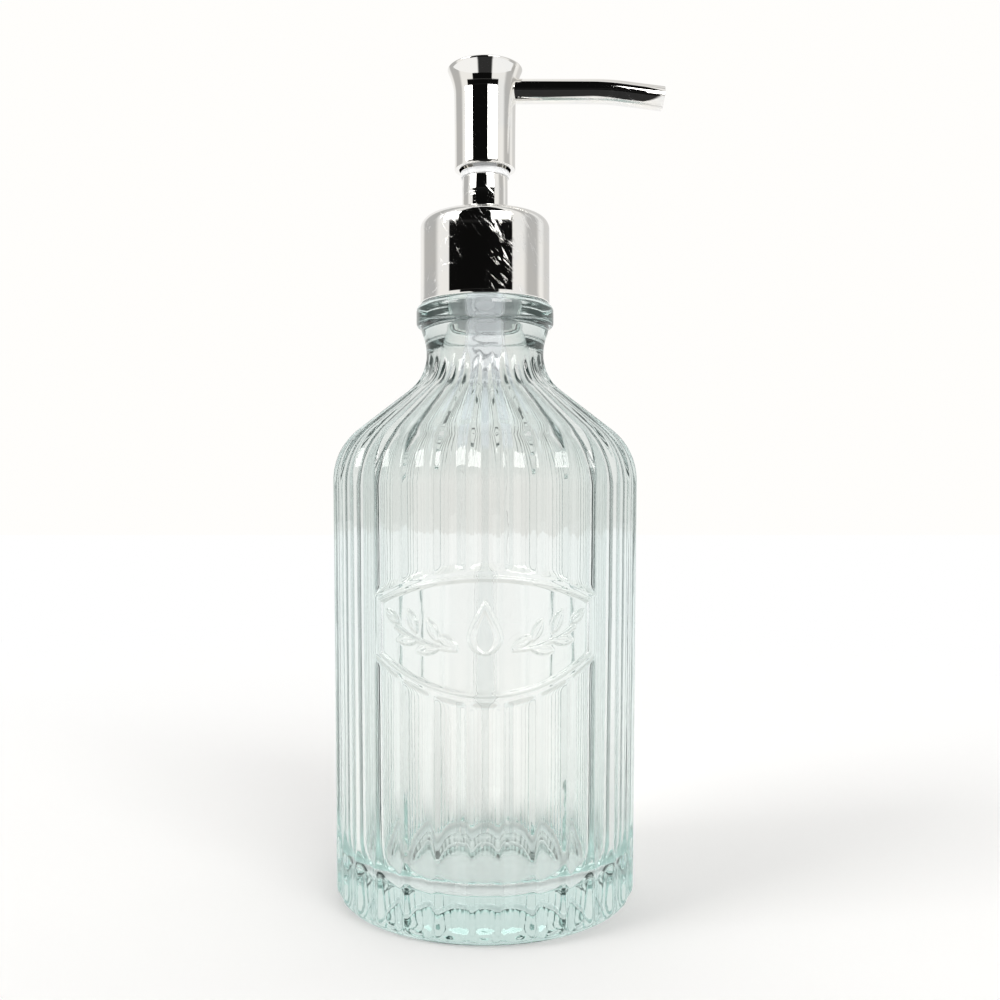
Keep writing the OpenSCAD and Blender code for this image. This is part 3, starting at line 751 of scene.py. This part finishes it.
cadLooks = {
    "neck_gasket": gasketFoam, "closure_ring": whitePlastic, "pump_housing": milkyPlastic,
    "stem_guide": whitePlastic, "ball_cage": whitePlastic, "inlet_ball": ballSteel,
    "piston": sealPlastic, "piston_rod": whitePlastic, "stem": whitePlastic,
    "outlet_ball": ballSteel, "actuator_core": whitePlastic, "nozzle_insert": whitePlastic,
    "dip_tube": tubePlastic,
}
for name, look in cadLooks.items():
    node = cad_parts[name]
    node.data.materials.clear()
    node.data.materials.append(look)
print("CAD pieces dressed")


stageSize = {
    "floor": 3.0, "drop": 0.0001, "colour": 0.86, "glow": 0.16, "paintedPoolUnderBottle": 0.55, "rough": 0.9,
    "underR": 0.028, "footR": 0.036, "nearR": 0.06, "farR": 0.6,
    "mirrorDark": 0.97, "darkFrom": 20.0, "darkTo": 27.0,
}


# a pale sweep: matt near the bottle and white far off, with a painted pool of light under the bottle and a dark
# front wedge for mirrors only, a painted dark reflection
def makeFloor():
    g = stageSize
    bm = bmesh.new()
    bmesh.ops.create_grid(bm, x_segments=2, y_segments=2, size=g["floor"])
    bmesh.ops.translate(bm, verts=bm.verts, vec=(0, 0, -g["drop"]))
    material, nodes, links, shader = newMaterial("paleFloor")
    setSockets(shader, Roughness=g["rough"], Emission_Strength=1.0, Specular_IOR_Level=0.0)
    where = nodes.new("ShaderNodeTexCoord")
    far = nodes.new("ShaderNodeVectorMath")
    far.operation = "LENGTH"
    links.new(where.outputs["Object"], far.inputs[0])
    distance = far.outputs["Value"]
    split = nodes.new("ShaderNodeSeparateXYZ")
    links.new(where.outputs["Object"], split.inputs[0])
    ahead = mathNode(nodes, links, "MULTIPLY", split.outputs["Y"], -1)
    turn = mathNode(nodes, links, "ARCTAN2", split.outputs["X"], ahead)
    turn = mathNode(nodes, links, "DEGREES", mathNode(nodes, links, "ABSOLUTE", turn))
    # painted dark reflection: the floor turns dark in a front wedge for glossy rays only
    front = fadeOut(nodes, links, turn, g["darkFrom"], g["darkTo"], g["mirrorDark"], 0)
    ray = nodes.new("ShaderNodeLightPath")
    through = mathNode(nodes, links, "SUBTRACT", 1, ray.outputs["Is Transmission Ray"])
    mirrored = mathNode(nodes, links, "MULTIPLY", ray.outputs["Is Glossy Ray"], through)
    hidden = mathNode(nodes, links, "MULTIPLY", front, mirrored)
    shown = mathNode(nodes, links, "SUBTRACT", 1, hidden)
    # painted pool of light under the bottle, standing in for light coming through the glass
    under = fadeOut(nodes, links, distance, g["underR"], g["footR"], g["paintedPoolUnderBottle"], g["glow"])
    distant = fadeOut(nodes, links, distance, g["nearR"], g["farR"], 0, 1 - g["glow"])
    matt = fadeOut(nodes, links, distance, g["nearR"], g["farR"], g["colour"], 0)
    glow = mathNode(nodes, links, "ADD", under, distant)
    for level, socket in ((glow, "Emission Color"), (matt, "Base Color")):
        links.new(mathNode(nodes, links, "MULTIPLY", level, shown), shader.inputs[socket])
    floor = meshObject(bm, "floor", material)


makeFloor()


# boxes of directions: (azimuth from, to, elevation from, to, softness of the edge), in degrees
roomLook = {
    "colour": (1.0, 0.99, 0.97), "white": 0.93, "dark": 0.004, "window": 7, "seen": 1.0,  # brightness of each part
    "walls": [(0.5, (-138, -94, -90, 80, 7)), (0.52, (76, 108, -90, 80, 7)), (0.7, (126, 165, -90, 80, 7))],
    "darkBoxes": [(-66, 49, 7.5, 17.4, 1.2), (-52, 44, 16, 87, 1.2), (-44, 24, -70, 8.5, 1.5)],
    "windows": [(-78, -48, 17.4, 42, 0.5), (11, 46, 17.4, 42, 0.5)],
    "throughGlass": 0.86, "throughFront": 0.75, "frontBox": (-60, 55, -90, 60, 14),
}


# soft studio: white all round, and for mirrors a dark room in front with two windows
def makeWorld():
    look = roomLook
    world = bpy.data.worlds.new("softStudio")
    world.use_nodes = True
    scene.world = world
    nodes, links = world.node_tree.nodes, world.node_tree.links
    back = nodes["Background"]
    where = nodes.new("ShaderNodeTexCoord")
    split = nodes.new("ShaderNodeSeparateXYZ")
    links.new(where.outputs["Generated"], split.inputs[0])

    def math2(kind, *values):
        return mathNode(nodes, links, kind, *values)

    # azimuth from the front in degrees, positive to the right, and elevation in degrees
    azimuth = math2("DEGREES", math2("ARCTAN2", split.outputs["X"], math2("MULTIPLY", split.outputs["Y"], -1)))
    elevation = math2("DEGREES", math2("ARCSINE", split.outputs["Z"]))

    # 1 inside a box of directions with soft edges
    def window(lowA, highA, lowE, highE, edge):
        sides = []
        for value, low, high in ((azimuth, lowA, highA), (elevation, lowE, highE)):
            for distance in (math2("SUBTRACT", value, low), math2("SUBTRACT", high, value)):
                ramp = nodes.new("ShaderNodeMapRange")
                ramp.interpolation_type = "SMOOTHSTEP"
                ramp.inputs["From Min"].default_value = -edge
                ramp.inputs["From Max"].default_value = edge
                links.new(distance, ramp.inputs["Value"])
                sides.append(ramp.outputs["Result"])
        return math2("MULTIPLY", math2("MULTIPLY", sides[0], sides[1]), math2("MULTIPLY", sides[2], sides[3]))

    def blendTo(under, value, mask):
        node = nodes.new("ShaderNodeMix")
        node.data_type = "FLOAT"
        links.new(mask, node.inputs["Factor"])
        if isinstance(under, (int, float)):
            node.inputs["A"].default_value = under
        else:
            links.new(under, node.inputs["A"])
        node.inputs["B"].default_value = value
        return node.outputs["Result"]

    strength = look["white"]
    boxes = look["walls"] + [(look["dark"], box) for box in look["darkBoxes"]]
    boxes += [(look["window"], box) for box in look["windows"]]
    for level, box in boxes:
        strength = blendTo(strength, level, window(*box))
    glassRoom = blendTo(look["throughGlass"], look["throughFront"], window(*look["frontBox"]))
    ray = nodes.new("ShaderNodeLightPath")
    for flag, value in (("Is Transmission Ray", glassRoom), ("Is Camera Ray", look["seen"])):
        choose = nodes.new("ShaderNodeMix")
        choose.data_type = "FLOAT"
        links.new(ray.outputs[flag], choose.inputs["Factor"])
        links.new(strength, choose.inputs["A"])
        if isinstance(value, float):
            choose.inputs["B"].default_value = value
        else:
            links.new(value, choose.inputs["B"])
        strength = choose.outputs["Result"]
    links.new(strength, back.inputs["Strength"])
    back.inputs["Color"].default_value = (*look["colour"], 1)


makeWorld()

cameraSize = {
    "distance": 269.0, "height": 97.5, "lens": 38.5, "sensor": 36,
    "shiftX": 0.015, "shiftY": 0.003, "near": 0.01,
}


def makeCamera():
    c = cameraSize
    data = bpy.data.cameras.new("camera")
    data.lens, data.sensor_width = c["lens"], c["sensor"]
    data.shift_x, data.shift_y = c["shiftX"], c["shiftY"]
    data.clip_start = c["near"]
    camera = bpy.data.objects.new("camera", data)
    camera.location = (0, -c["distance"] * mm, c["height"] * mm)
    camera.rotation_euler = (math.pi / 2, 0, 0)
    scene.collection.objects.link(camera)
    scene.camera = camera


makeCamera()
scene.view_settings.view_transform = "Standard"
scene.cycles.max_bounces = 24
scene.cycles.transmission_bounces = 20
print("stage and camera made")
